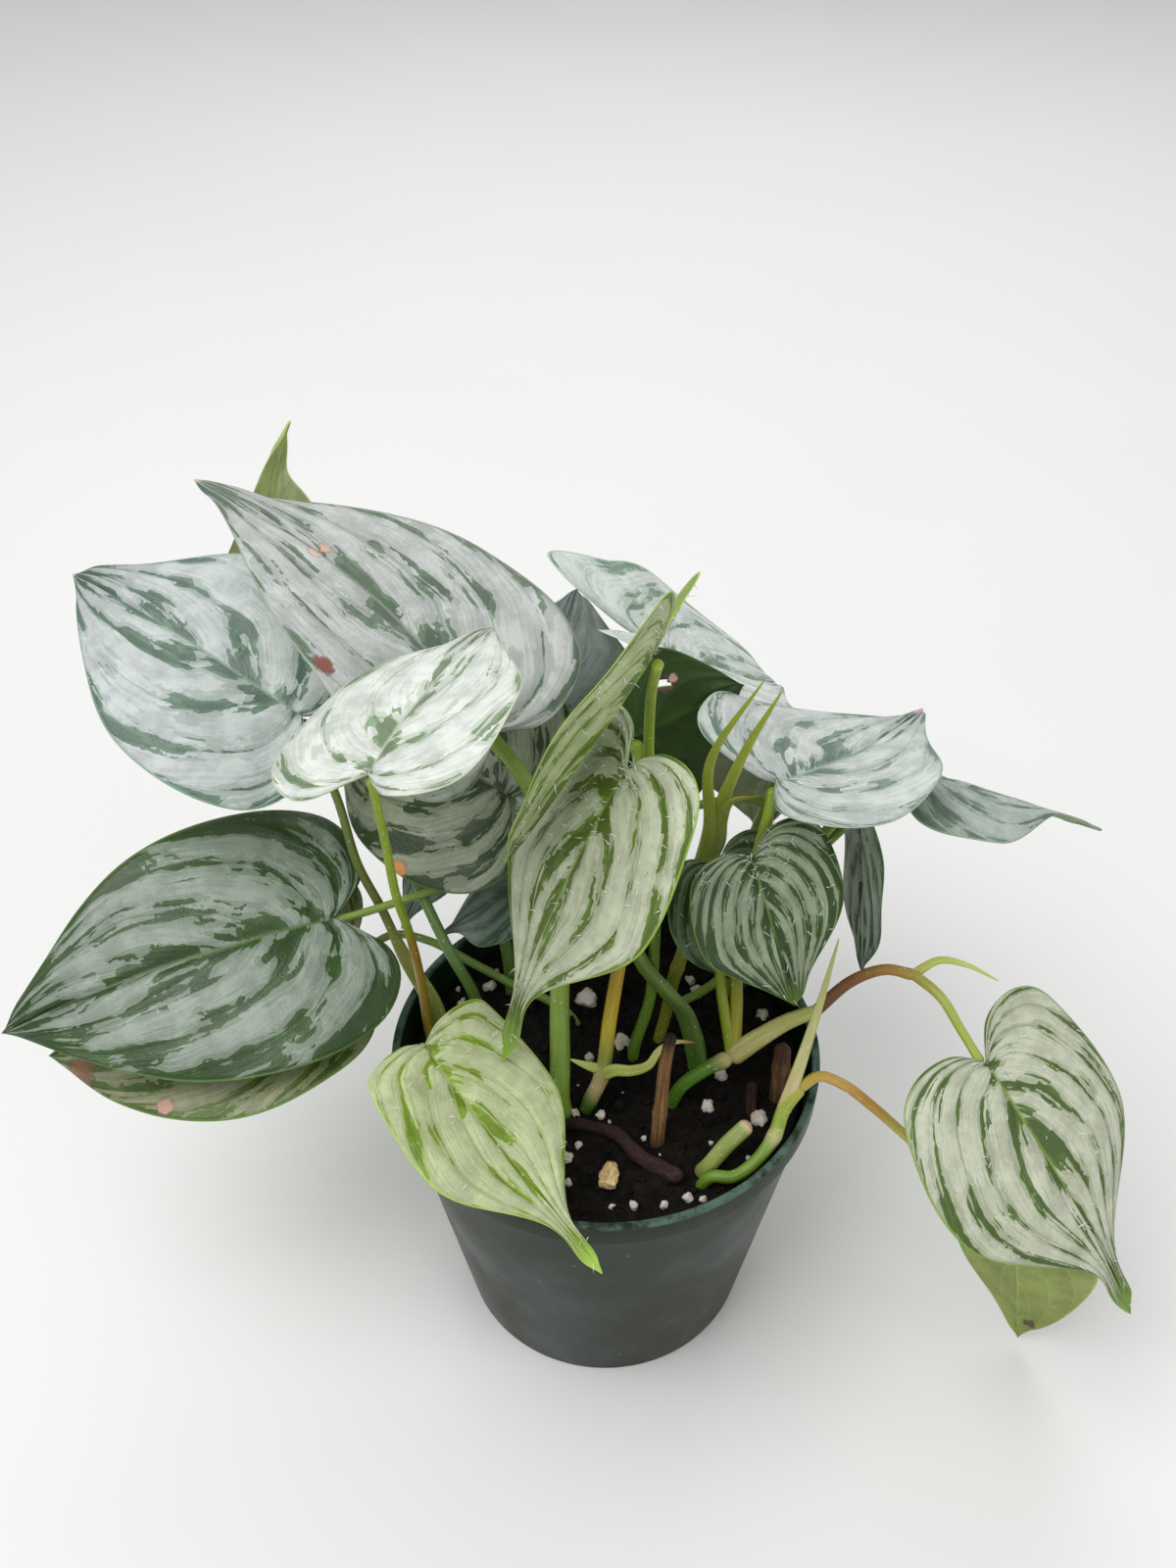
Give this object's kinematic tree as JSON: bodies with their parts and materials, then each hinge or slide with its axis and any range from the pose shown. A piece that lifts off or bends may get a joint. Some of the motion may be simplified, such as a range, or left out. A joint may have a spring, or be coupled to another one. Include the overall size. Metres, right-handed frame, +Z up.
{
  "type": "potted plant",
  "caption": "Potted philodendron brandtianum: heart-shaped silver-marked leaves on slender green stalks, rooted in dark potting mix in a round dark green plastic nursery pot.",
  "frame": {"origin": "middle of the pot's flat underside", "axes": "+Z up, out of the pot's mouth; -Y towards the viewer of the front"},
  "size_m": [0.2679, 0.1874, 0.2181],
  "materials": {
    "pot": "semi-gloss, lightly scuffed at the rim",
    "soil": "dark crumbly peat mix with white perlite",
    "old_leaf": "satin, grey-green with silver bands",
    "dark_leaf": "satin, dark green with silver bands",
    "young_leaf": "satin, light green with silver bands and fine hairs",
    "stem": "smooth, juicy green, browner towards the soil",
    "wood": "rough brown rhizome",
    "dry": "dry and papery",
    "bark": "pale rough bark"
  },
  "bodies": {
    "root": {"pot": "pot", "soil": "soil", "stem_left": "stem", "stem_low_left": "stem", "stem_far_left": "stem", "stem_under_silver": "stem", "stem_middle": "stem", "stem_centre": "stem", "stem_front_right": "stem", "stem_front_rim": "stem", "stem_back_right": "stem", "stem_back": "stem", "stem_back_left": "stem", "leaf_far_left_young": "young_leaf", "leaf_upper_left": "old_leaf", "leaf_left": "old_leaf", "leaf_silver_middle": "old_leaf", "leaf_under_silver": "old_leaf", "leaf_lower_left": "dark_leaf", "leaf_lower_left_under": "dark_leaf", "leaf_front_lime": "young_leaf", "leaf_folded": "young_leaf", "leaf_front_hairy": "young_leaf", "leaf_small_heart": "dark_leaf", "leaf_behind_heart": "dark_leaf", "leaf_right": "old_leaf", "leaf_far_right": "old_leaf", "leaf_hanging_dark": "dark_leaf", "leaf_top": "old_leaf", "leaf_holed": "dark_leaf", "leaf_right_front": "young_leaf", "leaf_right_front_under": "young_leaf", "leaf_grey_behind": "old_leaf", "leaf_under_middle": "dark_leaf", "leaf_back_left": "old_leaf", "leaf_back_middle": "dark_leaf", "leaf_back_right": "old_leaf", "rhizome": "wood", "stub_cut_green": "stem", "stub_dry_tall": "dry", "stub_dry_right": "dry", "stub_dry_short": "dry", "bark_chip": "bark"}
  },
  "joints": []
}
